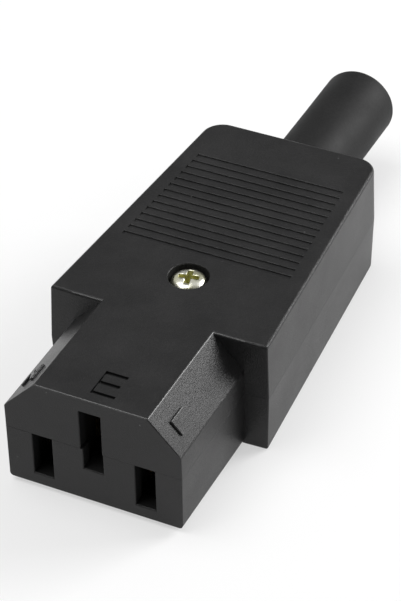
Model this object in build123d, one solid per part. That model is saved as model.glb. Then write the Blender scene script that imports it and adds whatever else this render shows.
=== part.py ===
from build123d import *
import os
from math import atan, degrees

# A rewirable power connector. Two moulded shells meet on a level plane and hold three folded
# brass contacts, a rubber cable sleeve and a bar that clamps the cord. One screw closes them.
# X is the width, Y runs back from the mating face and Z is up. The origin is the middle of the
# mating face, on the plane where the shells meet. Sizes are in millimetres.

# Housing
housing_height = 16.0
nose_width = 24.0
nose_length = 17.6
nose_chamfer_width = 4.3
nose_chamfer_height = 4.65
nose_corner_radius = 0.5
nose_draft = 0.1
body_length = 42.6
shoulder_width = 30.5
rear_width = 25.1
shoulder_sweep = 0.15
body_draft = 0.25
belly_drop = 0.7
rear_corner_radius = 3.2
top_edge_bevel = 0.25
wall = 1.8
rear_wall = 2.0
throat_reach = 2.6
cut_past = 1.0

# Contact slots in the mating face
front_wall = 1.6
pin_spacing = 14.0
line_seat_rise = 0.85
line_top_gap = 0.3
earth_axis_depth = 4.8
slot_width = 2.7
line_slot_below = 3.75
earth_slot_reach = 4.5
earth_slot_top_width = 2.9
earth_slot_shift = 0.2

# Grip grooves across both faces
groove_pitch = 1.5
groove_floor_width = 0.52
groove_wall_lean = 0.08
groove_depth = 0.2
groove_start = 5.0
groove_end = 8.6
groove_side_margin = 2.7

# Contacts, folded from brass sheet around a flat pin
pin_thickness = 2.0
sheet = 0.45
leaf_pinch = 0.1
leaf_flare = 0.35
leaf_setback = 2.6
leaf_rear_gap = 1.1
pinch_share = 0.45
web_length = 5.0
neck_width = 3.0
pad_length = 6.8
pad_thickness = 1.2
earth_pad_width = 6.6
spring_sheet = 0.3
spring_height = 2.4
spring_gap = 0.05
spring_setback = 1.5
spring_back_gap = 0.1
play = 0.2

# Terminals and their screws
plate_thickness = 0.8
plate_margin = 0.4
pad_gap = 0.6
pad_side_gap = 1.0
terminal_thread = 3.0
terminal_head = 5.2
terminal_head_height = 1.6
terminal_reach = 1.2
barrier = 0.8
thread_gap = 0.02
head_rim_share = 0.35

# Housing screw and its captive nut
screw_thread = 3.0
screw_head = 5.0
screw_head_height = 1.9
screw_recess = 0.05
counterbore = 5.3
screw_clearance = 0.2
screw_end_reach = 0.2
nut_flats = 5.5
nut_height = 2.4
nut_recess = 0.8
boss_radius = 4.4
boss_spacing = 0.5

# Cord clamp
clamp_setback = 12.5
clamp_width = 5.0
clamp_thickness = 1.7
clamp_boss_margin = 0.3
clamp_seat_drop = 0.6
clamp_thread = 2.5
clamp_head_gap = 0.66
clamp_head_height = 1.5
clamp_screw_length = 6.2
tooth_height = 0.3
tooth_width = 0.8

# Cable sleeve
sleeve_axis_rise = 0.4
sleeve_roof_gap = 0.9
sleeve_wall = 1.5
sleeve_reach = 22.9
sleeve_end_bevel = 0.5
flange_step = 1.0
flange_width = 1.7
collar_wall = 1.4
collar_half_width = 9.2
seat_gap = 0.1

# Locating pegs
peg_radius = 0.8
peg_height = 2.0
peg_y = 5.5

# Places worked out from the sizes above
half_height = housing_height / 2
inner_height = half_height - wall
body_end = nose_length + body_length
side_slope = (shoulder_width - rear_width) / 2 / body_length
cavity_front = nose_length - throat_reach
inner_front = nose_length + wall
contact_height = inner_height - line_seat_rise - line_top_gap
under_contact = (contact_height + sheet) / 2
over_contact = (contact_height - sheet) / 2
line_axis = line_seat_rise + under_contact - inner_height
earth_axis = inner_height - earth_axis_depth
line_slot_floor = line_axis - line_slot_below
earth_slot_floor = earth_axis - earth_slot_reach
earth_slot_roof = earth_axis + earth_slot_reach
pin_x = pin_spacing / 2
leaf_inner = pin_thickness / 2 + leaf_flare / 2
spring_inner = leaf_inner + sheet + spring_gap
spring_outer = spring_inner + spring_sheet
chamber_half = spring_outer + play
leaf_start = front_wall + leaf_setback
leaf_end = cavity_front - leaf_rear_gap
web_start = leaf_end - web_length
earth_pad_start = cavity_front + play
earth_pad_end = earth_pad_start + pad_length
screw_y = earth_pad_end + boss_spacing + boss_radius
barrier_inner = earth_pad_width / 2 + play
barrier_outer = barrier_inner + barrier
line_pad_start = inner_front + pad_gap
line_pad_end = line_pad_start + pad_length
line_pad_inner = barrier_outer + pad_gap
line_pad_outer = shoulder_width / 2 - side_slope * (line_pad_end - nose_length) - wall - pad_side_gap
line_pad_x = (line_pad_inner + line_pad_outer) / 2
line_pad_y = (line_pad_start + line_pad_end) / 2
earth_pad_y = (earth_pad_start + earth_pad_end) / 2
head_seat = half_height - screw_recess - screw_head_height
belly_slope = belly_drop / body_length
nut_top = nut_recess + nut_height - half_height - belly_slope * (body_end - screw_y)
clamp_y = body_end - clamp_setback
clamp_seat = -clamp_seat_drop
sleeve_radius = inner_height - sleeve_roof_gap
sleeve_bore_radius = sleeve_radius - sleeve_wall
flange_radius = sleeve_radius + flange_step
inner_rear = body_end - rear_wall
clamp_radius = sleeve_bore_radius + play
clamp_wall_x = shoulder_width / 2 - side_slope * (clamp_y - nose_length) - wall
clamp_boss_x = (clamp_radius + clamp_thickness + clamp_wall_x) / 2
clamp_head = clamp_wall_x - clamp_radius - clamp_thickness - 2 * clamp_head_gap
clamp_boss_radius = clamp_head / 2 + clamp_boss_margin
collar_front = inner_rear - flange_width - 2 * seat_gap - collar_wall


def half_width(y):
    """Half of the body's width on the parting plane, y behind the mating face."""
    return shoulder_width / 2 - side_slope * (y - nose_length)


def face_height(side, y):
    """How far a shell's face is from the parting plane: the lower body bellies to the front."""
    return half_height if side > 0 else half_height + belly_slope * (body_end - y)


def block(x0, x1, y0, y1, z0, z1):
    """A straight block between two corners."""
    box = Box(x1 - x0, y1 - y0, z1 - z0)
    return Pos((x0 + x1) / 2, (y0 + y1) / 2, (z0 + z1) / 2) * box


def upright(radius, x, y, z0, z1):
    """A round bar along Z."""
    return Pos(x, y, (z0 + z1) / 2) * Cylinder(radius, abs(z1 - z0))


def along_y(section, y0, y1):
    """A section drawn in X and Z, drawn out from y0 to y1."""
    return extrude(Plane.XZ.offset(-y0) * section, amount=y0 - y1)


def lengthwise(radius, z, y0, y1):
    """A round bar along Y, on the middle plane."""
    return along_y(Pos(0, z) * Circle(radius), y0, y1)


def body_plan(inset, y_front, y_rear, corner, sweep):
    """The body seen from above: a wedge that narrows to the rear, with two round corners."""
    front = half_width(y_front) - inset
    rear = half_width(y_rear) - inset
    inner = nose_width / 2 - inset
    points = [
        (-rear, y_rear),
        (-front, y_front + sweep),
        (-inner, y_front),
        (inner, y_front),
        (front, y_front + sweep),
        (rear, y_rear),
    ]
    plan = make_face(Polyline(*points, close=True))
    return fillet(plan.vertices().group_by(Axis.Y)[-1], radius=corner)


def body_block(side, inset, height, y_front, y_rear, corner, sweep):
    """One half of the wedge, from the parting plane to its face, a little narrower there."""
    plan = body_plan(inset, y_front, y_rear, corner, sweep)
    upper = extrude(plan, amount=height, taper=degrees(atan(body_draft / half_height)))
    return upper if side > 0 else mirror(upper, about=Plane.XY)


def nose_section(side, inset, height):
    """The nose seen from the front: plain below, with its two chamfers above."""
    edge = nose_width / 2 - inset
    lean = nose_draft * height / half_height
    top = edge - lean
    if side > 0:
        shoulder = height - nose_chamfer_height
        points = [
            (-edge, 0),
            (edge, 0),
            (edge - lean * shoulder / height, shoulder),
            (top - nose_chamfer_width, height),
            (nose_chamfer_width - top, height),
            (lean * shoulder / height - edge, shoulder),
        ]
    else:
        points = [(-edge, 0), (edge, 0), (top, -height), (-top, -height)]
    return make_face(Polyline(*points, close=True))


def below_belly():
    """Everything under the lower body's face, which rises a little to the rear."""
    y0 = nose_length - cut_past
    y1 = body_end + cut_past
    bottom = -half_height - belly_drop - 2 * cut_past
    points = [(y0, -face_height(-1, y0)), (y1, -face_height(-1, y1)), (y1, bottom), (y0, bottom)]
    section = Plane.YZ * make_face(Polyline(*points, close=True))
    return extrude(section, amount=shoulder_width, both=True)


def outer_half(side):
    """One shell's outside, before it is hollowed."""
    height = face_height(side, nose_length)
    body = body_block(side, 0, height, nose_length, body_end, rear_corner_radius, shoulder_sweep)
    if side < 0:
        body -= below_belly()
    face = body.faces().sort_by(Axis.Z)[-1 if side > 0 else 0]
    rim = face.edges()
    front = rim.filter_by(lambda e: e.center().Y < nose_length + shoulder_sweep + 0.01)
    body = chamfer(rim - front, length=top_edge_bevel)
    section = nose_section(side, 0, half_height)
    corners = section.vertices().group_by(Axis.Y)[1 if side > 0 else 0]
    section = fillet(corners, radius=nose_corner_radius)
    return body + along_y(section, 0, nose_length + wall)


def cavity(side):
    """The wiring space of one shell, which starts inside the nose."""
    corner = rear_corner_radius - wall
    space = body_block(side, wall, inner_height, inner_front, inner_rear, corner, shoulder_sweep)
    throat = along_y(nose_section(side, wall, inner_height), cavity_front, inner_front + wall)
    return space + throat


def grip_grooves(side):
    """Shallow grooves with leaning walls across one face, in a field as tapered as the body."""
    first = screw_y + groove_start
    last = body_end - groove_end
    count = int((last - first) / groove_pitch) + 1
    floor_half = groove_floor_width / 2
    above_half = floor_half + 2 * groove_wall_lean
    grooves = []
    for i in range(count):
        y = first + i * groove_pitch
        floor = side * (face_height(side, y) - groove_depth)
        above = side * (face_height(side, y) + groove_depth)
        points = [
            (y - floor_half, floor),
            (y + floor_half, floor),
            (y + above_half, above),
            (y - above_half, above),
        ]
        section = Plane.YZ * make_face(Polyline(*points, close=True))
        grooves.append(extrude(section, amount=half_width(y) - groove_side_margin, both=True))
    return grooves


def sleeve_seat():
    """The hole in the rear wall and the groove that holds the sleeve's flange."""
    hole = lengthwise(sleeve_radius + seat_gap, sleeve_axis_rise, collar_front - cut_past, body_end + cut_past)
    groove_front = collar_front + collar_wall
    groove = lengthwise(flange_radius + seat_gap, sleeve_axis_rise, groove_front, inner_rear)
    return hole + groove


def collar(side):
    """The thick web across one shell that the flange's groove is cut in."""
    z0 = min(0, side * inner_height)
    z1 = max(0, side * inner_height)
    return block(-collar_half_width, collar_half_width, collar_front, inner_rear, z0, z1)


def peg_places():
    """Where the two locating pegs stand, between the contact chambers."""
    return [(side * pin_x / 2, peg_y) for side in (-1, 1)]


def top_shell():
    """The upper shell: roof, upper nose, screw boss and the upper half of the sleeve's seat."""
    shell = outer_half(1) - cavity(1)
    shell += collar(1)
    shell += upright(boss_radius, 0, screw_y, 0, half_height - wall / 2)
    earth_roof = earth_axis + over_contact + play
    slot_left = -earth_slot_shift - earth_slot_top_width / 2
    slot_right = earth_slot_top_width / 2 - earth_slot_shift
    shell -= block(slot_left, slot_right, -cut_past, front_wall + cut_past, -cut_past, earth_slot_roof)
    shell -= block(-chamber_half, chamber_half, front_wall, web_start, -cut_past, earth_slot_roof)
    shell -= block(-chamber_half, chamber_half, front_wall, cavity_front + cut_past, -cut_past, earth_roof)
    shell -= upright(screw_thread / 2 + screw_clearance, 0, screw_y, -cut_past, half_height)
    shell -= upright(counterbore / 2, 0, screw_y, head_seat, half_height + cut_past)
    shell -= sleeve_seat()
    for x, y in peg_places():
        shell -= upright(peg_radius + seat_gap, x, y, -cut_past, peg_height + play)
    for groove in grip_grooves(1):
        shell -= groove
    return shell


def contact_chambers():
    """The three chambers behind the slots, with the contacts' seats further back."""
    cuts = []
    for side in (-1, 1):
        x0 = side * pin_x - chamber_half
        x1 = side * pin_x + chamber_half
        seat = line_axis - under_contact
        slot = side * pin_x
        left = slot - slot_width / 2
        right = slot + slot_width / 2
        cuts.append(block(left, right, -cut_past, front_wall + cut_past, line_slot_floor, cut_past))
        cuts.append(block(x0, x1, front_wall, web_start, line_slot_floor, cut_past))
        cuts.append(block(x0, x1, front_wall, cavity_front + cut_past, seat, cut_past))
    seat = earth_axis - under_contact
    half = slot_width / 2
    cuts.append(block(-half, half, -cut_past, front_wall + cut_past, earth_slot_floor, cut_past))
    cuts.append(block(-chamber_half, chamber_half, front_wall, web_start, earth_slot_floor, cut_past))
    cuts.append(block(-chamber_half, chamber_half, front_wall, cavity_front + cut_past, seat, cut_past))
    return cuts


def terminal_seats():
    """The blocks under the three terminals, with the barriers beside the earth one."""
    floor = -inner_height - wall / 2
    seats = [
        block(
            -barrier_outer,
            barrier_outer,
            cavity_front - cut_past,
            earth_pad_end + play,
            floor,
            earth_axis - under_contact,
        )
    ]
    for side in (-1, 1):
        x0, x1 = sorted((side * barrier_inner, side * barrier_outer))
        seats.append(block(x0, x1, cavity_front - cut_past, earth_pad_end + play, floor, 0))
        x0, x1 = sorted((side * line_pad_inner, side * line_pad_outer))
        seats.append(block(x0, x1, line_pad_start, line_pad_end, floor, line_axis - under_contact))
    return seats


def clamp_saddle():
    """The lower half of the cord clamp: a toothed cradle between two screw bosses."""
    y0 = clamp_y - clamp_width / 2
    y1 = clamp_y + clamp_width / 2
    floor = -inner_height - wall / 2
    saddle = block(-clamp_boss_x, clamp_boss_x, y0, y1, floor, clamp_seat)
    for side in (-1, 1):
        saddle += upright(clamp_boss_radius, side * clamp_boss_x, clamp_y, floor, clamp_seat)
    tip = clamp_radius - tooth_height
    saddle -= lengthwise(tip, sleeve_axis_rise, y0 - cut_past, y1 + cut_past)
    between = clamp_width / 2 - tooth_width
    saddle -= lengthwise(clamp_radius, sleeve_axis_rise, clamp_y - between, clamp_y + between)
    for side in (-1, 1):
        depth = clamp_seat + clamp_thickness - clamp_screw_length - play
        saddle -= upright(clamp_thread / 2, side * clamp_boss_x, clamp_y, depth, cut_past)
    return saddle


def bottom_shell():
    """The lower shell, which carries the contacts, the nut and the cord's saddle."""
    shell = outer_half(-1) - cavity(-1)
    shell += collar(-1)
    shell += upright(boss_radius, 0, screw_y, wall / 2 - half_height, 0)
    for seat in terminal_seats():
        shell += seat
    shell += clamp_saddle()
    for cut in contact_chambers():
        shell -= cut
    relief = terminal_thread / 2 + play
    for x, y, axis in terminal_places():
        under = axis - under_contact
        shell -= upright(relief, x, y, under - terminal_reach - play, under)
    under = -face_height(-1, screw_y) - cut_past
    shell -= upright(screw_thread / 2 + screw_clearance, 0, screw_y, under, cut_past)
    pocket = RegularPolygon(nut_flats / 2 + seat_gap, 6, major_radius=False)
    shell -= Pos(0, screw_y, under) * extrude(pocket, amount=nut_top - under)
    shell -= sleeve_seat()
    for groove in grip_grooves(-1):
        shell -= groove
    for x, y in peg_places():
        shell += upright(peg_radius, x, y, -cut_past, peg_height)
    return shell


def cable_sleeve():
    """The rubber tube that carries the cord out, with the flange that holds it in the shells."""
    front = collar_front
    flange_front = collar_front + collar_wall + seat_gap
    end = body_end + sleeve_reach
    points = [
        (sleeve_bore_radius, front),
        (sleeve_radius, front),
        (sleeve_radius, flange_front),
        (flange_radius, flange_front),
        (flange_radius, flange_front + flange_width),
        (sleeve_radius, flange_front + flange_width),
        (sleeve_radius, end),
        (sleeve_bore_radius, end),
    ]
    section = make_face(Polyline(*points, close=True))
    tip = section.vertices().group_by(Axis.Y)[-1].sort_by(Axis.X)[-1]
    section = chamfer(tip, length=sleeve_end_bevel)
    return Pos(0, 0, sleeve_axis_rise) * revolve(section, axis=Axis.Y)


def pan_screw(thread, head, head_height, length):
    """A pan head screw, its head on the XY plane and its thread below."""
    rim = head_height * head_rim_share
    points = [
        (0, -length),
        (thread / 2, -length),
        (thread / 2, 0),
        (head / 2, 0),
        (head / 2, head_height - rim),
        (head / 2 - rim, head_height),
        (0, head_height),
    ]
    section = make_face(Polyline(*points, close=True))
    return Rot(90, 0, 0) * revolve(section, axis=Axis.Y)


def cheese_screw(thread, head, head_height, length):
    """A screw with a plain round head on the XY plane and its thread below."""
    return upright(head / 2, 0, 0, 0, head_height) + upright(thread / 2, 0, 0, -length, 0)


def housing_screw():
    """The screw that closes the shells, sunk in its counterbore."""
    length = head_seat - nut_top + nut_height + screw_end_reach
    screw = pan_screw(screw_thread, screw_head, screw_head_height, length)
    return Pos(0, screw_y, head_seat) * screw


def housing_nut():
    """The captive nut, against the top of its pocket in the underside."""
    outline = RegularPolygon(nut_flats / 2, 6, major_radius=False) - Circle(screw_thread / 2 + thread_gap)
    return Pos(0, screw_y, nut_top - nut_height) * extrude(outline, amount=nut_height)


def leaf(side, axis_z):
    """One leaf of a receptacle: flared at its mouth, pinched on the pin, then straight."""
    mouth = pin_thickness / 2 + leaf_flare
    pinch = pin_thickness / 2 - leaf_pinch
    points = [
        (side * mouth, leaf_start),
        (side * pinch, leaf_start + (web_start - leaf_start) * pinch_share),
        (side * leaf_inner, web_start - sheet),
        (side * leaf_inner, leaf_end),
    ]
    path = FilletPolyline(*points, radius=2 * sheet)
    outward = Side.RIGHT if side > 0 else Side.LEFT
    strip = make_face(offset(path, amount=sheet, side=outward))
    z0 = axis_z - under_contact
    return Pos(0, 0, z0) * extrude(strip, amount=under_contact + over_contact)


def contact(x, axis_z, pad_x, pad_start, pad_width):
    """A folded brass contact: two leaves, the web between them, a neck and a threaded pad."""
    z0 = axis_z - under_contact
    body = block(x - leaf_inner - sheet, x + leaf_inner + sheet, web_start, leaf_end, z0, z0 + sheet)
    for side in (-1, 1):
        body += Pos(x, 0, 0) * leaf(side, axis_z)
    body += block(x - neck_width / 2, x + neck_width / 2, web_start, pad_start + cut_past, z0, z0 + sheet)
    pad_end = pad_start + pad_length
    pad = block(pad_x - pad_width / 2, pad_x + pad_width / 2, pad_start, pad_end, z0, z0 + pad_thickness)
    body += fillet(pad.edges().filter_by(Axis.Z), radius=sheet)
    pad_y = (pad_start + pad_end) / 2
    top = z0 + pad_thickness
    return body - upright(terminal_thread / 2 + thread_gap, pad_x, pad_y, z0 - cut_past, top + cut_past)


def contact_spring(x, axis_z):
    """The spring clip that presses a receptacle's leaves together."""
    back = leaf_end + spring_back_gap
    mouth = leaf_start + spring_setback
    points = [
        (spring_inner, mouth),
        (spring_inner, back),
        (-spring_inner, back),
        (-spring_inner, mouth),
    ]
    path = Polyline(*points)
    clip = make_face(offset(path, amount=spring_sheet, side=Side.RIGHT))
    return Pos(x, 0, axis_z - spring_height / 2) * extrude(clip, amount=spring_height)


def terminal_places():
    """Each terminal's centre and its contact's axis: line, neutral, then earth."""
    return [
        (line_pad_x, line_pad_y, line_axis),
        (-line_pad_x, line_pad_y, line_axis),
        (0, earth_pad_y, earth_axis),
    ]


def wire_plate(x, y, axis_z, width):
    """The square washer that the terminal screw presses on the wire."""
    z = axis_z - under_contact + pad_thickness
    plate = Pos(x, y, z + plate_thickness / 2) * Box(width, pad_length - 2 * plate_margin, plate_thickness)
    plate = chamfer(plate.edges().filter_by(Axis.Z), length=plate_margin)
    top = z + plate_thickness
    return plate - upright(terminal_thread / 2 + seat_gap, x, y, z - cut_past, top + cut_past)


def terminal_screw(x, y, axis_z):
    """The screw of one terminal, down through its plate and pad."""
    seat = axis_z - under_contact + pad_thickness + plate_thickness
    length = plate_thickness + pad_thickness + terminal_reach
    return Pos(x, y, seat) * cheese_screw(terminal_thread, terminal_head, terminal_head_height, length)


def cord_clamp():
    """The bar over the cord: flat ends on the bosses and an arch between them."""
    end = clamp_boss_x + clamp_boss_radius
    top = clamp_seat + clamp_thickness
    bar = Pos(0, (clamp_seat + top) / 2) * Rectangle(2 * end, clamp_thickness)
    arch = Pos(0, sleeve_axis_rise) * Circle(clamp_radius + clamp_thickness)
    arch &= Pos(0, clamp_seat + housing_height / 2) * Rectangle(4 * clamp_radius, housing_height)
    section = bar + arch - Pos(0, sleeve_axis_rise) * Circle(clamp_radius)
    body = along_y(section, clamp_y - clamp_width / 2, clamp_y + clamp_width / 2)
    hole = clamp_thread / 2 + seat_gap
    for x in (-clamp_boss_x, clamp_boss_x):
        body -= upright(hole, x, clamp_y, clamp_seat - cut_past, top + cut_past)
    return body


def cord_clamp_screw(side):
    """A screw through one end of the clamp bar into its boss."""
    seat = clamp_seat + clamp_thickness
    screw = cheese_screw(clamp_thread, clamp_head, clamp_head_height, clamp_screw_length)
    return Pos(side * clamp_boss_x, clamp_y, seat) * screw


def build_parts():
    """Every sub-part by its node's name."""
    parts = {
        "top_shell": top_shell(),
        "bottom_shell": bottom_shell(),
        "cable_sleeve": cable_sleeve(),
        "housing_screw": housing_screw(),
        "housing_nut": housing_nut(),
        "cord_clamp": cord_clamp(),
        "cord_clamp_screw_left": cord_clamp_screw(-1),
        "cord_clamp_screw_right": cord_clamp_screw(1),
    }
    line_pad_width = line_pad_outer - line_pad_inner
    names = ["line", "neutral", "earth"]
    pin_places = [pin_x, -pin_x, 0]
    pad_starts = [line_pad_start, line_pad_start, earth_pad_start]
    pad_widths = [line_pad_width, line_pad_width, earth_pad_width]
    for i, (x, y, axis_z) in enumerate(terminal_places()):
        width = pad_widths[i]
        parts[names[i] + "_contact"] = contact(pin_places[i], axis_z, x, pad_starts[i], width)
        parts[names[i] + "_spring"] = contact_spring(pin_places[i], axis_z)
        parts[names[i] + "_wire_plate"] = wire_plate(x, y, axis_z, width - 2 * plate_margin)
        parts[names[i] + "_terminal_screw"] = terminal_screw(x, y, axis_z)
    return parts


os.makedirs("parts", exist_ok=True)
for node, solid in build_parts().items():
    export_step(solid, "parts/" + node + ".step")
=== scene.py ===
import math

import bmesh
import bpy
from mathutils import Matrix, Vector
from mathutils.bvhtree import BVHTree


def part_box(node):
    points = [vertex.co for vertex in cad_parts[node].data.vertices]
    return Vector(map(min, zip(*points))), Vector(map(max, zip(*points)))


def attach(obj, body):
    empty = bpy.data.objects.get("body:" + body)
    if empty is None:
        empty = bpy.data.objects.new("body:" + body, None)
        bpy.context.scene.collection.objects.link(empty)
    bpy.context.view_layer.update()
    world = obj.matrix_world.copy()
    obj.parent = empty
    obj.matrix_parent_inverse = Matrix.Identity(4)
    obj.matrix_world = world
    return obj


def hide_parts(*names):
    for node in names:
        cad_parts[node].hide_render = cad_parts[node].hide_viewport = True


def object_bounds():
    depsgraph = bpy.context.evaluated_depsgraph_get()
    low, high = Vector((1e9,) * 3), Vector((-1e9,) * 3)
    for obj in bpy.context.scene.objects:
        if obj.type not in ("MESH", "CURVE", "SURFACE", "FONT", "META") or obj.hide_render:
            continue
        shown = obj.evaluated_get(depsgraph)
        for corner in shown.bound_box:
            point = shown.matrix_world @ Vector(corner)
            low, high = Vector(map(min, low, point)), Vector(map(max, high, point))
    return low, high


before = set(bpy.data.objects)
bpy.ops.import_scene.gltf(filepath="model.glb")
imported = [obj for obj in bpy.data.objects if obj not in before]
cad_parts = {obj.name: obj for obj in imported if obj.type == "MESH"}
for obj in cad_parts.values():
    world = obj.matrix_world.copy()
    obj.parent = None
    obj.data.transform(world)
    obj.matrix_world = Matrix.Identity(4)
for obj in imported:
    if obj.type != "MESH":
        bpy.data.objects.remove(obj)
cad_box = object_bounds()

# View
# A long lens looks down on the connector from above the front right corner. Its place was found
# from the edges of the nose, which is 24 mm wide and 16 mm high.
lens_per_frame_height = 2500.0 / 601.0
camera_place = Vector((0.112707, -0.196389, 0.199854))
camera_right = Vector((0.90103, 0.43342, -0.01713))
camera_up = Vector((-0.25511, 0.56147, 0.78719))
camera_lens = bpy.data.cameras.new("view")
camera_lens.sensor_width = 36.0
camera_lens.lens = lens_per_frame_height * camera_lens.sensor_width
camera_lens.clip_start = 0.01
camera_lens.clip_end = 10.0
camera = bpy.data.objects.new("view", camera_lens)
camera_turn = Matrix((camera_right, camera_up, camera_right.cross(camera_up))).transposed()
camera.matrix_world = Matrix.Translation(camera_place) @ camera_turn.to_4x4()
bpy.context.collection.objects.link(camera)
bpy.context.scene.camera = camera

# Housing shells
# Two shells of black glass filled nylon, moulded against spark eroded steel that leaves a fine
# grain. They meet on a level seam, and one screw pulls them together.
mm = 0.001
shell_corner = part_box("top_shell")[1]
nose_top = shell_corner[2]
body_end = shell_corner[1] / mm
nose_length = 17.6
screw_y = 26.9 * mm
edge_round = 0.15 * mm
seam_round = 0.04 * mm
sharp_angle = math.radians(32)
shortest_rounded = 0.12 * mm
core_slot = 1
highlight_slot = 2


def new_group(name, inputs, outputs):
    """An empty shader node group with its sockets: inputs as (name, type, value)."""
    group = bpy.data.node_groups.new(name, "ShaderNodeTree")
    for label, kind, value in inputs:
        socket = group.interface.new_socket(name=label, in_out="INPUT", socket_type=kind)
        socket.default_value = value
    for label, kind in outputs:
        group.interface.new_socket(name=label, in_out="OUTPUT", socket_type=kind)
    start = group.nodes.new("NodeGroupInput")
    end = group.nodes.new("NodeGroupOutput")
    return group, start, end


def add_node(tree, kind, links=(), **settings):
    """A node with its settings, and links as (input, output socket or value)."""
    node = tree.nodes.new(kind)
    for key, value in settings.items():
        setattr(node, key, value)
    for key, value in links:
        if isinstance(value, bpy.types.NodeSocket):
            tree.links.new(value, node.inputs[key])
        else:
            node.inputs[key].default_value = value
    return node


def moulded_grain():
    """Fine grain, cloudy patches and a few pale specks, as a moulded surface has them."""
    speck_reach = 0.07
    bare_share = 0.85
    speck_lift = 0.8
    group, start, end = new_group(
        "moulded_grain",
        [
            ("Colour", "NodeSocketColor", (0.03, 0.03, 0.03, 1)),
            ("Pale", "NodeSocketColor", (0.05, 0.05, 0.05, 1)),
            ("Speck", "NodeSocketColor", (0.1, 0.1, 0.1, 1)),
            ("Grain per metre", "NodeSocketFloat", 6000.0),
            ("Specks per metre", "NodeSocketFloat", 420.0),
            ("Smooth", "NodeSocketFloat", 0.38),
            ("Dull", "NodeSocketFloat", 0.5),
        ],
        [("Colour", "NodeSocketColor"), ("Roughness", "NodeSocketFloat"), ("Height", "NodeSocketFloat")],
    )
    place = add_node(group, "ShaderNodeTexCoord").outputs["Object"]
    grain = add_node(
        group, "ShaderNodeTexNoise",
        [("Vector", place), ("Scale", start.outputs["Grain per metre"]), ("Detail", 3.0), ("Roughness", 0.6)],
    ).outputs["Fac"]
    patches = add_node(
        group, "ShaderNodeTexNoise",
        [("Vector", place), ("Scale", 160.0), ("Detail", 4.0), ("Roughness", 0.55)],
    ).outputs["Fac"]
    cells = add_node(
        group, "ShaderNodeTexVoronoi", [("Vector", place), ("Scale", start.outputs["Specks per metre"])]
    )
    near = add_node(
        group, "ShaderNodeMath", [(0, cells.outputs["Distance"]), (1, speck_reach)], operation="LESS_THAN"
    ).outputs[0]
    chosen = add_node(
        group, "ShaderNodeMath", [(0, cells.outputs["Color"]), (1, bare_share)], operation="GREATER_THAN"
    ).outputs[0]
    speck = add_node(group, "ShaderNodeMath", [(0, near), (1, chosen)], operation="MULTIPLY").outputs[0]
    mottle = add_node(
        group, "ShaderNodeMath", [(0, grain), (1, patches)], operation="MULTIPLY"
    ).outputs[0]
    share = add_node(
        group, "ShaderNodeMapRange", [("Value", mottle), ("From Min", 0.14), ("From Max", 0.38)]
    ).outputs["Result"]
    clouded = add_node(
        group, "ShaderNodeMix",
        [(0, share), (6, start.outputs["Colour"]), (7, start.outputs["Pale"])],
        data_type="RGBA",
    ).outputs[2]
    colour = add_node(
        group, "ShaderNodeMix", [(0, speck), (6, clouded), (7, start.outputs["Speck"])], data_type="RGBA"
    ).outputs[2]
    roughness = add_node(
        group, "ShaderNodeMapRange",
        [
            ("Value", patches), ("From Min", 0.3), ("From Max", 0.7),
            ("To Min", start.outputs["Smooth"]), ("To Max", start.outputs["Dull"]),
        ],
    ).outputs["Result"]
    lift = add_node(
        group, "ShaderNodeMath", [(0, speck), (1, speck_lift), (2, grain)], operation="MULTIPLY_ADD"
    )
    group.links.new(colour, end.inputs["Colour"])
    group.links.new(roughness, end.inputs["Roughness"])
    group.links.new(lift.outputs[0], end.inputs["Height"])
    return group


grain_group = moulded_grain()


def grained_finish(name, group, values, depth, metallic=0.0, **sockets):
    """A material with one Principled shader, fed by one of the surface groups."""
    material = bpy.data.materials.new(name)
    material.use_nodes = True
    tree = material.node_tree
    shader = tree.nodes["Principled BSDF"]
    surface = add_node(tree, "ShaderNodeGroup", node_tree=group)
    for key, value in values.items():
        surface.inputs[key].default_value = value
    bump = add_node(tree, "ShaderNodeBump", [("Height", surface.outputs["Height"]), ("Distance", depth)])
    tree.links.new(surface.outputs["Colour"], shader.inputs["Base Color"])
    tree.links.new(surface.outputs["Roughness"], shader.inputs["Roughness"])
    tree.links.new(bump.outputs["Normal"], shader.inputs["Normal"])
    shader.inputs["Metallic"].default_value = metallic
    for key, value in sockets.items():
        shader.inputs[key.replace("_", " ")].default_value = value
    return material


black_plastic = grained_finish(
    "black_plastic", grain_group,
    {
        "Colour": (0.0105, 0.0105, 0.0108, 1),
        "Pale": (0.02, 0.0197, 0.02, 1),
        "Speck": (0.11, 0.11, 0.108, 1),
        "Grain per metre": 5200.0,
        "Specks per metre": 700.0,
        "Smooth": 0.3,
        "Dull": 0.38,
    },
    depth=0.06 * mm,
    Specular_IOR_Level=0.29,
)
# The nose's upper edges and its raised letters are smoother and a little paler; the paler colour is a painted
# highlight along them.
edge_highlight_finish = grained_finish(
    "edge_highlight_finish", grain_group,
    {
        "Colour": (0.03, 0.03, 0.03, 1),
        "Pale": (0.05, 0.05, 0.05, 1),
        "Speck": (0.09, 0.09, 0.088, 1),
        "Grain per metre": 5200.0,
        "Specks per metre": 700.0,
        "Smooth": 0.18,
        "Dull": 0.26,
    },
    depth=0.02 * mm,
)
# The mould's cores are plain, so the slots and everything behind them are dull.
core_side = grained_finish(
    "core_side", grain_group,
    {
        "Colour": (0.011, 0.011, 0.011, 1),
        "Pale": (0.015, 0.015, 0.015, 1),
        "Speck": (0.02, 0.02, 0.02, 1),
        "Grain per metre": 3000.0,
        "Specks per metre": 300.0,
        "Smooth": 0.8,
        "Dull": 0.95,
    },
    depth=0.01 * mm,
    Specular_IOR_Level=0.15,
)


def clean_copy(node):
    """The node's solid with its flat faces joined up again, ready for its edges to be rounded."""
    solid = bmesh.new()
    solid.from_mesh(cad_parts[node].data)
    bmesh.ops.remove_doubles(solid, verts=solid.verts, dist=0.001 * mm)
    bmesh.ops.dissolve_limit(
        solid, angle_limit=math.radians(0.2), verts=solid.verts, edges=solid.edges, delimit=set()
    )
    return solid


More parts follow.
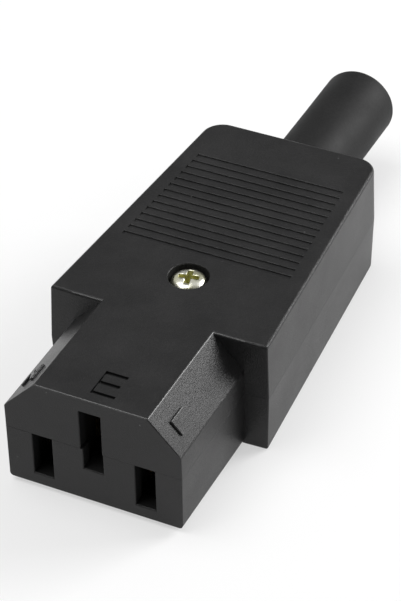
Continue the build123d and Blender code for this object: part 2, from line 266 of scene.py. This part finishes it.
def add_piece(name, mesh, material, replaced=None):
    """A piece of the connector, which rides with it and takes its finish from one slot."""
    piece = bpy.data.objects.new(name, mesh)
    bpy.context.collection.objects.link(piece)
    mesh.materials.clear()
    mesh.materials.append(material)
    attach(piece, "root")
    if replaced:
        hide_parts(replaced)
    return piece


def cut_away(mesh, cutter):
    """The mesh with the cutter's solid taken out of it."""
    blank = bpy.data.objects.new("blank", mesh)
    tool = bpy.data.objects.new("tool", cutter)
    for thing in (blank, tool):
        bpy.context.collection.objects.link(thing)
    cut = blank.modifiers.new("cut", "BOOLEAN")
    cut.operation = "DIFFERENCE"
    cut.solver = "EXACT"
    cut.object = tool
    shaped = bpy.data.meshes.new_from_object(blank.evaluated_get(bpy.context.evaluated_depsgraph_get()))
    for thing in (blank, tool):
        bpy.data.objects.remove(thing)
    return shaped


def outline_prism(outline, low, high):
    """A prism over a closed outline in X and Y."""
    prism = bmesh.new()
    base = [prism.verts.new((x, y, low)) for x, y in outline]
    floor = prism.faces.new(base)
    raised = bmesh.ops.extrude_face_region(prism, geom=[floor])
    crown = [part for part in raised["geom"] if isinstance(part, bmesh.types.BMVert)]
    bmesh.ops.translate(prism, verts=crown, vec=(0, 0, high - low))
    bmesh.ops.recalc_face_normals(prism, faces=prism.faces)
    mesh = bpy.data.meshes.new("prism")
    prism.to_mesh(mesh)
    prism.free()
    return mesh


# The earth terminal's letter is sunk in the nose's top, with three bars on one stem.
letter_depth = 0.34 * mm
earth_letter = [
    (-0.8, 1.55), (2.45, 1.55), (2.45, 2.05), (-0.6, 2.05), (-0.6, 3.5), (2.1, 3.5),
    (2.1, 4.05), (-0.6, 4.05), (-0.6, 5.4), (2.25, 5.4), (2.25, 5.95), (-0.8, 5.95),
]
letter_tool = outline_prism(
    [(x * mm, y * mm) for x, y in earth_letter], nose_top - letter_depth, nose_top + mm
)

# The grip grooves lie 1.5 mm apart. Their lips are a little rounded, which the frame leaves out.
groove_pitch = 1.5
first_groove = screw_y / mm + 5.0
groove_count = 14
groove_half = 11.85
side_narrowing = 2.7
belly_drop = 0.7
body_length = body_end - nose_length
groove_shortening = side_narrowing / body_length
belly_slope = belly_drop / body_length
groove_section = [
    (-0.69, 0.5), (-0.69, 0.02), (-0.55, 0.0), (-0.41, -0.02), (-0.345, -0.07), (-0.265, -0.205),
    (0.265, -0.205), (0.345, -0.07), (0.41, -0.02), (0.55, 0.0), (0.69, 0.02), (0.69, 0.5),
]


def groove_tool(side):
    """The bars that shape the grooves of one face: side is 1 for the top and -1 below."""
    bars = bmesh.new()
    for i in range(groove_count):
        y = first_groove + i * groove_pitch
        face = nose_top / mm
        if side < 0:
            face += belly_slope * (body_end - y)
        half = groove_half - groove_shortening * i * groove_pitch
        ends = []
        for x in (-half, half):
            ends.append([
                bars.verts.new((x * mm, (y + along) * mm, side * (face + up) * mm))
                for along, up in groove_section
            ])
        bars.faces.new(ends[0])
        bars.faces.new(ends[1])
        for j in range(len(groove_section)):
            k = (j + 1) % len(groove_section)
            bars.faces.new((ends[0][j], ends[0][k], ends[1][k], ends[1][j]))
    bmesh.ops.recalc_face_normals(bars, faces=bars.faces)
    mesh = bpy.data.meshes.new("grooves")
    bars.to_mesh(mesh)
    bars.free()
    return mesh


both_shells = bmesh.new()
for node in ("top_shell", "bottom_shell"):
    both_shells.from_mesh(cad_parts[node].data)
shell_surface = BVHTree.FromBMesh(both_shells)
both_shells.free()


def shows_outside(edge):
    """True where nothing of the shells stands in front of the edge."""
    middle = (edge.verts[0].co + edge.verts[1].co) / 2
    outward = (edge.link_faces[0].normal + edge.link_faces[1].normal).normalized()
    return shell_surface.ray_cast(middle + outward * 0.02 * mm, outward)[0] is None


def is_core_side(face):
    """True for a face inside the slots, the chambers, the wiring space and the screw's bore."""
    bore_reach = 3.35 * mm
    inner_half_width = 11.8 * mm
    inner_half_height = 7.6 * mm
    front = 0.1 * mm
    rear = 59 * mm
    corners = [vert.co for vert in face.verts]
    if all(math.hypot(corner.x, corner.y - screw_y) < bore_reach for corner in corners):
        return True
    if not front < max(corner.y for corner in corners) < rear:
        return False
    return all(abs(corner.x) < inner_half_width and abs(corner.z) < inner_half_height for corner in corners)


def round_edges(solid, edges, radius):
    """Rounds the edges in four narrow flat steps, so the broad faces beside them still look flat."""
    highlight_low = nose_top - 0.2 * mm
    highlight_end = (nose_length + 0.5) * mm
    made = bmesh.ops.bevel(
        solid, geom=edges, offset=radius, offset_type="OFFSET", segments=4, profile=0.5, affect="EDGES",
        clamp_overlap=False, miter_outer="ARC", material=0,
    )
    for face in made["faces"]:
        # Rounded faces along the nose's upper edges take the paler finish, a painted highlight.
        on_nose_top = all(vert.co.z > highlight_low and vert.co.y < highlight_end for vert in face.verts)
        face.material_index = highlight_slot if on_nose_top else 0
        face.smooth = False


def lies_within(edge, half_width, front, rear, low):
    """True where both ends of the edge are in one part of the shell, given in millimetres."""
    return all(
        abs(vert.co.x) < half_width * mm and front * mm < vert.co.y < rear * mm and vert.co.z > low * mm
        for vert in edge.verts
    )


def finish_casting(name, mesh):
    """Gives the shell's outer edges the small radius that the mould leaves, and its finishes."""
    solid = bmesh.new()
    solid.from_mesh(mesh)
    on_seam = solid.edges.layers.int.new("on_seam")
    outer_edges = []
    for edge in solid.edges:
        in_grip = lies_within(edge, half_width=12, front=30, rear=54, low=-10)
        in_letter = lies_within(edge, half_width=2.6, front=-1, rear=6.2, low=7.5)
        edge.smooth = edge.calc_face_angle(0) < sharp_angle and not in_grip
        stays_sharp = edge.smooth or in_grip or in_letter or not edge.is_convex
        if stays_sharp or edge.calc_length() < shortest_rounded or not shows_outside(edge):
            continue
        if max(abs(vert.co.z) for vert in edge.verts) < 0.01 * mm:
            edge[on_seam] = 1
        else:
            outer_edges.append(edge)
    for face in solid.faces:
        face.smooth = True
        face.material_index = core_slot if is_core_side(face) else 0
    round_edges(solid, outer_edges, edge_round)
    round_edges(solid, [edge for edge in solid.edges if edge[on_seam]], seam_round)
    add_piece(name, mesh, black_plastic, name.replace("_casting", ""))
    mesh.materials.append(core_side)
    mesh.materials.append(edge_highlight_finish)
    solid.to_mesh(mesh)
    solid.free()


for node, side in (("top_shell", 1), ("bottom_shell", -1)):
    blank_solid = clean_copy(node)
    blank_mesh = bpy.data.meshes.new(node + "_casting")
    blank_solid.to_mesh(blank_mesh)
    blank_solid.free()
    blank_mesh = cut_away(blank_mesh, groove_tool(side))
    if side > 0:
        blank_mesh = cut_away(blank_mesh, letter_tool)
    finish_casting(node + "_casting", blank_mesh)

# Line and neutral letters
# The other two terminals' letters stand a little proud of the nose's chamfers, moulded in one with
# the upper shell. All three read upright from the front.
chamfer_top_x = 7.6 * mm
chamfer_slope = Vector((4.3, 0, -4.65)).normalized()
letter_height = 0.34 * mm
letter_sink = 0.12 * mm
letter_edge = 0.12 * mm
line_letter = [(2.45, 2.5), (4.75, 2.5), (4.75, 3.05), (3.05, 3.05), (3.05, 5.5), (2.45, 5.5)]
neutral_letter = [
    (4.6, 2.55), (4.6, 5.6), (4.15, 5.6), (2.7, 3.5), (2.7, 5.6), (2.25, 5.6),
    (2.25, 2.55), (2.7, 2.55), (4.15, 4.65), (4.15, 2.55),
]
for side, name, outline in ((1, "line_letter", line_letter), (-1, "neutral_letter", neutral_letter)):
    points = [(side * down * mm, along * mm) for down, along in outline]
    letter = outline_prism(points, -letter_sink, letter_height)
    down_slope = Vector((chamfer_slope.x, 0, side * chamfer_slope.z))
    backward = Vector((0, 1, 0))
    turn = Matrix((down_slope, backward, down_slope.cross(backward))).transposed().to_4x4()
    letter.transform(Matrix.Translation((side * chamfer_top_x, 0, nose_top)) @ turn)
    letter_piece = add_piece(name, letter, black_plastic)
    letter.materials.append(edge_highlight_finish)
    for face in letter.polygons:
        face.use_smooth = True
    letter_round = letter_piece.modifiers.new("letter_radius", "BEVEL")
    letter_round.width = letter_edge
    letter_round.segments = 3
    letter_round.harden_normals = True
    # The letters' rounded edges take the paler finish, a painted highlight.
    letter_round.material = 1

# Housing screw
# A pan head machine screw with a cross recess, cold headed from steel, zinc plated and passivated
# to a pale yellow. It sits just below the face in its counterbore.
thread_radius = 1.45
thread_pitch = 0.5
thread_top = 5.75
screw_end = -7.93
recess_top = 8.05
recess_reach = 1.45
recess_half_width = 0.4
recess_depth = 1.8
recess_turn = math.radians(12)
head_profile = [
    (0, 7.93), (0.7, 7.92), (1.3, 7.86), (1.75, 7.73), (2.08, 7.5), (2.3, 7.18), (2.43, 6.8),
    (2.47, 6.4), (2.47, 6.2), (2.4, 6.08), (thread_radius, 6.05),
]


def turned_bar(profile, axis_x, axis_y, steps=64, close=False):
    """A solid turned about an upright axis from its profile of (radius, height) in millimetres."""
    bar = bmesh.new()
    rings = []
    for radius, height in profile:
        if radius == 0:
            rings.append([bar.verts.new((axis_x, axis_y, height * mm))])
            continue
        ring = []
        for i in range(steps):
            angle = math.tau * i / steps
            x = axis_x + radius * mm * math.cos(angle)
            y = axis_y + radius * mm * math.sin(angle)
            ring.append(bar.verts.new((x, y, height * mm)))
        rings.append(ring)
    if close:
        rings.append(rings[0])
    for upper, lower in zip(rings, rings[1:]):
        for i in range(steps):
            j = (i + 1) % steps
            corners = [
                upper[i % len(upper)], upper[j % len(upper)], lower[j % len(lower)], lower[i % len(lower)],
            ]
            distinct = list(dict.fromkeys(corners))
            if len(distinct) > 2:
                bar.faces.new(distinct)
    for edge in bar.edges:
        edge.smooth = edge.calc_face_angle(0) < math.radians(50)
    bmesh.ops.recalc_face_normals(bar, faces=bar.faces)
    for face in bar.faces:
        face.smooth = True
    mesh = bpy.data.meshes.new("turned")
    bar.to_mesh(mesh)
    bar.free()
    return mesh


def thread_profile(radius, top, bottom):
    """The outline of a thread's crests and roots, from its top down to a short point."""
    root = radius - 0.36 * thread_pitch
    point = 0.3
    points = []
    height = top
    while height - thread_pitch > bottom + point:
        points.append((radius, height))
        points.append((radius, height - 0.12 * thread_pitch))
        points.append((root, height - 0.5 * thread_pitch))
        points.append((root, height - 0.62 * thread_pitch))
        height -= thread_pitch
    points.append((radius, height))
    points.append((radius - point, bottom))
    points.append((0, bottom))
    return points


def cross_punch():
    """The tapered cross that forms the screw's recess."""
    tip_reach = recess_reach * 0.42
    tip_half_width = recess_half_width * 0.55
    tool = bmesh.new()
    levels = []
    for height, arm, width in (
        (recess_top, recess_reach, recess_half_width), (recess_top - recess_depth, tip_reach, tip_half_width),
    ):
        ring = []
        for quarter in range(4):
            angle = recess_turn + quarter * math.pi / 2
            for along, across in ((arm, -width), (arm, width), (width, width)):
                x = (along * math.cos(angle) - across * math.sin(angle)) * mm
                y = screw_y + (along * math.sin(angle) + across * math.cos(angle)) * mm
                ring.append(tool.verts.new((x, y, height * mm)))
        levels.append(ring)
    upper, lower = levels
    tool.faces.new(upper)
    tool.faces.new(list(reversed(lower)))
    for i in range(len(upper)):
        j = (i + 1) % len(upper)
        tool.faces.new([upper[i], lower[i], lower[j], upper[j]])
    bmesh.ops.recalc_face_normals(tool, faces=tool.faces)
    mesh = bpy.data.meshes.new("punch")
    tool.to_mesh(mesh)
    tool.free()
    return mesh


def plated_metal():
    """Fine streaks and clouds of tint, as stamped or plated metal has them."""
    group, start, end = new_group(
        "plated_metal",
        [
            ("Colour", "NodeSocketColor", (0.7, 0.7, 0.6, 1)),
            ("Tint", "NodeSocketColor", (0.6, 0.55, 0.3, 1)),
            ("Streak size", "NodeSocketVector", (2500.0, 2500.0, 9000.0)),
            ("Smooth", "NodeSocketFloat", 0.18),
            ("Dull", "NodeSocketFloat", 0.34),
        ],
        [("Colour", "NodeSocketColor"), ("Roughness", "NodeSocketFloat"), ("Height", "NodeSocketFloat")],
    )
    place = add_node(group, "ShaderNodeTexCoord").outputs["Object"]
    stretched = add_node(
        group, "ShaderNodeVectorMath", [(0, place), (1, start.outputs["Streak size"])], operation="MULTIPLY"
    ).outputs[0]
    streaks = add_node(
        group, "ShaderNodeTexNoise", [("Vector", stretched), ("Scale", 1.0), ("Detail", 2.0)]
    ).outputs["Fac"]
    clouds = add_node(
        group, "ShaderNodeTexNoise", [("Vector", place), ("Scale", 700.0), ("Detail", 3.0)]
    ).outputs["Fac"]
    tinted = add_node(
        group, "ShaderNodeMapRange", [("Value", clouds), ("From Min", 0.38), ("From Max", 0.62)]
    ).outputs["Result"]
    colour = add_node(
        group, "ShaderNodeMix",
        [(0, tinted), (6, start.outputs["Colour"]), (7, start.outputs["Tint"])],
        data_type="RGBA",
    ).outputs[2]
    roughness = add_node(
        group, "ShaderNodeMapRange",
        [
            ("Value", streaks), ("From Min", 0.3), ("From Max", 0.7),
            ("To Min", start.outputs["Smooth"]), ("To Max", start.outputs["Dull"]),
        ],
    ).outputs["Result"]
    group.links.new(colour, end.inputs["Colour"])
    group.links.new(roughness, end.inputs["Roughness"])
    group.links.new(streaks, end.inputs["Height"])
    return group


metal_group = plated_metal()
yellow_zinc = grained_finish(
    "yellow_zinc", metal_group,
    {
        "Colour": (0.95, 0.94, 0.84, 1),
        "Tint": (0.84, 0.83, 0.6, 1),
        "Streak size": (2600.0, 2600.0, 2600.0),
        "Smooth": 0.24,
        "Dull": 0.34,
    },
    depth=0.004 * mm,
    metallic=1.0,
)
olive_zinc = grained_finish(
    "olive_zinc", metal_group,
    {
        "Colour": (0.72, 0.7, 0.4, 1),
        "Tint": (0.56, 0.55, 0.25, 1),
        "Streak size": (2600.0, 2600.0, 2600.0),
        "Smooth": 0.45,
        "Dull": 0.6,
    },
    depth=0.006 * mm,
    metallic=1.0,
)
screw_outline = head_profile + thread_profile(thread_radius, thread_top, screw_end)
screw_mesh = cut_away(turned_bar(screw_outline, 0.0, screw_y, steps=48), cross_punch())
add_piece("cross_pan_screw", screw_mesh, yellow_zinc, "housing_screw")
screw_mesh.materials.append(olive_zinc)
recess_floor = 5.0 * mm
recess_lip = 7.75 * mm
for face in screw_mesh.polygons:
    aside = math.hypot(face.center.x, face.center.y - screw_y)
    if aside < 1.5 * mm and recess_floor < face.center.z < recess_lip:
        face.material_index = 1

# Housing nut
# A hexagon nut of the same plated steel, pushed into its pocket in the underside. Its corners are
# chamfered on both faces and its hole is threaded.
nut_low, nut_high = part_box("housing_nut")
nut_bottom = nut_low[2] / mm
nut_top = nut_high[2] / mm
nut_flats = 5.5
nut_corner = nut_flats / math.sqrt(3)
chamfer_outer = nut_corner + 0.4
chamfer_depth = 0.42
nut_outline = [
    (nut_corner * mm * math.cos(math.pi * i / 3), screw_y + nut_corner * mm * math.sin(math.pi * i / 3))
    for i in range(6)
]
nut_mesh = outline_prism(nut_outline, nut_bottom * mm, nut_top * mm)
for face_height, side in ((nut_top, 1), (nut_bottom, -1)):
    chamfer_ring = [
        (nut_flats / 2 * 0.97, face_height + side * 0.01),
        (chamfer_outer, face_height + side * 0.3),
        (chamfer_outer, face_height - side * chamfer_depth),
    ]
    nut_mesh = cut_away(nut_mesh, turned_bar(chamfer_ring, 0.0, screw_y, close=True))
tap_radius = 1.48
tap_top = -4.75
tap_end = -8.6
tap_profile = [(0, tap_top)] + thread_profile(tap_radius, tap_top, tap_end)
nut_mesh = cut_away(nut_mesh, turned_bar(tap_profile, 0.0, screw_y, steps=48))
for face in nut_mesh.polygons:
    face.use_smooth = False
add_piece("hexagon_nut", nut_mesh, yellow_zinc, "housing_nut")

# Cable sleeve
# A tube of soft black rubber with a rounded end, held by a flange that the shells close on. It
# keeps the cord from a sharp bend where it leaves the housing.
sleeve_axis = 0.4 * mm
sleeve_low, sleeve_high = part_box("cable_sleeve")
sleeve_front = sleeve_low[1] / mm
sleeve_end = sleeve_high[1] / mm
black_rubber = grained_finish(
    "black_rubber", grain_group,
    {
        "Colour": (0.006, 0.006, 0.0062, 1),
        "Pale": (0.013, 0.0128, 0.013, 1),
        "Speck": (0.03, 0.03, 0.03, 1),
        "Grain per metre": 2600.0,
        "Specks per metre": 300.0,
        "Smooth": 0.55,
        "Dull": 0.68,
    },
    depth=0.01 * mm,
    Specular_IOR_Level=0.25,
)
sleeve_radius = 5.3
flange_radius = 6.3
sleeve_bore_radius = 3.8
tip_round = 0.85
tip_arc = [
    (
        sleeve_radius - tip_round + tip_round * math.cos(turn),
        sleeve_end - tip_round + tip_round * math.sin(turn),
    )
    for turn in [math.radians(15 * i) for i in range(7)]
]
flange_profile = [
    (sleeve_radius, sleeve_front + 0.02), (sleeve_radius, sleeve_front + 1.5),
    (flange_radius - 0.02, sleeve_front + 1.52), (flange_radius, sleeve_front + 3.15),
    (sleeve_radius, sleeve_front + 3.2),
]
tube_profile = [(sleeve_radius, 60.6), (sleeve_radius - 0.01, 66.0), (sleeve_radius - 0.02, 74.0)]
mouth_profile = [
    (sleeve_bore_radius + 0.4, sleeve_end), (sleeve_bore_radius + 0.15, sleeve_end - 0.12),
    (sleeve_bore_radius + 0.02, sleeve_end - 0.5), (sleeve_bore_radius, sleeve_end - 2),
    (sleeve_bore_radius, sleeve_front + 0.02),
]
sleeve_profile = flange_profile + tube_profile + tip_arc + mouth_profile
sleeve_mesh = turned_bar(sleeve_profile, 0.0, 0.0, steps=96, close=True)
sleeve_mesh.transform(Matrix.Translation((0, 0, sleeve_axis)) @ Matrix.Rotation(-math.pi / 2, 4, "X"))
add_piece("rubber_sleeve", sleeve_mesh, black_rubber, "cable_sleeve")

# Inner metal and clamp
# Stamped brass contacts, their steel spring clips, the terminal plates and screws, and the cord's
# clamp bar lie inside the closed shells, so they keep the shapes that the frame gives them.
brass = grained_finish(
    "stamped_brass", metal_group,
    {
        "Colour": (0.6, 0.46, 0.24, 1),
        "Tint": (0.5, 0.35, 0.16, 1),
        "Streak size": (9000.0, 1500.0, 9000.0),
        "Smooth": 0.24,
        "Dull": 0.42,
    },
    depth=0.004 * mm,
    metallic=1.0,
)
spring_steel = grained_finish(
    "blued_spring_steel", metal_group,
    {
        "Colour": (0.5, 0.51, 0.53, 1),
        "Tint": (0.36, 0.37, 0.4, 1),
        "Streak size": (9000.0, 1500.0, 9000.0),
        "Smooth": 0.22,
        "Dull": 0.38,
    },
    depth=0.003 * mm,
    metallic=1.0,
)
clamp_plastic = grained_finish(
    "clamp_plastic", grain_group,
    {
        "Colour": (0.04, 0.04, 0.042, 1),
        "Pale": (0.06, 0.06, 0.062, 1),
        "Speck": (0.12, 0.12, 0.12, 1),
        "Grain per metre": 4200.0,
        "Specks per metre": 500.0,
        "Smooth": 0.45,
        "Dull": 0.6,
    },
    depth=0.02 * mm,
)
for pole in ("line", "neutral", "earth"):
    for part, finish in (
        ("contact", brass), ("spring", spring_steel),
        ("wire_plate", yellow_zinc), ("terminal_screw", yellow_zinc),
    ):
        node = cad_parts[pole + "_" + part]
        node.data.materials.clear()
        node.data.materials.append(finish)
for name, finish in (
    ("cord_clamp", clamp_plastic),
    ("cord_clamp_screw_left", yellow_zinc), ("cord_clamp_screw_right", yellow_zinc),
):
    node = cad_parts[name]
    node.data.materials.clear()
    node.data.materials.append(finish)

# Floor and light
# A pale floor and a soft studio: two lamps low behind the right shoulder, a broad one overhead,
# and surroundings that are brightest toward the rear. The floor looks nearly white and keeps the
# connector's shadow.
floor_half = 3.0
white_share = 0.55
floor_height = cad_box[0][2]
floor_mesh = bpy.data.meshes.new("floor")
floor_mesh.from_pydata(
    [(x * floor_half, y * floor_half, floor_height) for x, y in ((-1, -1), (1, -1), (1, 1), (-1, 1))],
    [], [(0, 1, 2, 3)],
)
floor = bpy.data.objects.new("floor", floor_mesh)
bpy.context.collection.objects.link(floor)
floor_paint = bpy.data.materials.new("floor_paint")
floor_paint.use_nodes = True
floor_tree = floor_paint.node_tree
floor_shader = floor_tree.nodes["Principled BSDF"]
floor_shader.inputs["Base Color"].default_value = (0.92, 0.92, 0.92, 1)
floor_shader.inputs["Roughness"].default_value = 0.9
floor_shader.inputs["Specular IOR Level"].default_value = 0.1
floor_path = add_node(floor_tree, "ShaderNodeLightPath")
floor_seen = add_node(
    floor_tree, "ShaderNodeMath",
    [(0, floor_path.outputs["Is Camera Ray"]), (1, floor_path.outputs["Is Glossy Ray"])],
    operation="MAXIMUM",
)
floor_seen = add_node(
    floor_tree, "ShaderNodeMath",
    [(0, floor_seen.outputs[0]), (1, floor_path.outputs["Is Transmission Ray"])],
    operation="MAXIMUM",
)
floor_share = add_node(
    floor_tree, "ShaderNodeMath", [(0, floor_seen.outputs[0]), (1, white_share)], operation="MULTIPLY"
)
floor_white = add_node(floor_tree, "ShaderNodeEmission", [("Color", (1, 1, 1, 1)), ("Strength", 1.0)])
floor_mix = add_node(
    floor_tree, "ShaderNodeMixShader",
    [(0, floor_share.outputs[0]), (1, floor_shader.outputs["BSDF"]), (2, floor_white.outputs["Emission"])],
)
floor_tree.links.new(floor_mix.outputs[0], floor_tree.nodes["Material Output"].inputs["Surface"])
floor_mesh.materials.append(floor_paint)


def soft_lamp(name, direction, distance, size, power):
    """A square lamp that faces the middle of the connector from one direction."""
    lamp = bpy.data.lights.new(name, "AREA")
    lamp.size = size
    lamp.energy = power
    holder = bpy.data.objects.new(name, lamp)
    aim = Vector(direction).normalized()
    holder.location = Vector((0, 0.035, 0)) + aim * distance
    holder.rotation_euler = aim.to_track_quat("Z", "Y").to_euler()
    bpy.context.collection.objects.link(holder)


soft_lamp("key", (0.62, 0.64, 0.42), 0.9, 0.45, 5.7)
soft_lamp("edge", (0.42, 0.70, 0.55), 0.9, 0.3, 1.4)
soft_lamp("fill", (-0.3, -0.15, 0.9), 1.1, 0.8, 8.0)
surroundings = bpy.data.worlds.new("surroundings")
surroundings.use_nodes = True
sky = surroundings.node_tree
direction = add_node(sky, "ShaderNodeTexCoord").outputs["Generated"]
toward_rear = add_node(sky, "ShaderNodeSeparateXYZ", [(0, direction)]).outputs["Y"]
rising = add_node(
    sky, "ShaderNodeMapRange",
    [("Value", toward_rear), ("From Min", -0.4), ("From Max", 0.6), ("To Min", 0.04), ("To Max", 0.5)],
    interpolation_type="SMOOTHSTEP",
)
falling = add_node(
    sky, "ShaderNodeMapRange",
    [("Value", toward_rear), ("From Min", 0.55), ("From Max", 0.95), ("To Min", 1.0), ("To Max", 0.4)],
)
back_light = add_node(
    sky, "ShaderNodeMath",
    [(0, rising.outputs["Result"]), (1, falling.outputs["Result"])],
    operation="MULTIPLY",
)
sky.links.new(back_light.outputs[0], sky.nodes["Background"].inputs["Strength"])
sky.nodes["Background"].inputs["Color"].default_value = (1, 1, 1, 1)
bpy.context.scene.world = surroundings
bpy.context.scene.view_settings.view_transform = "Standard"
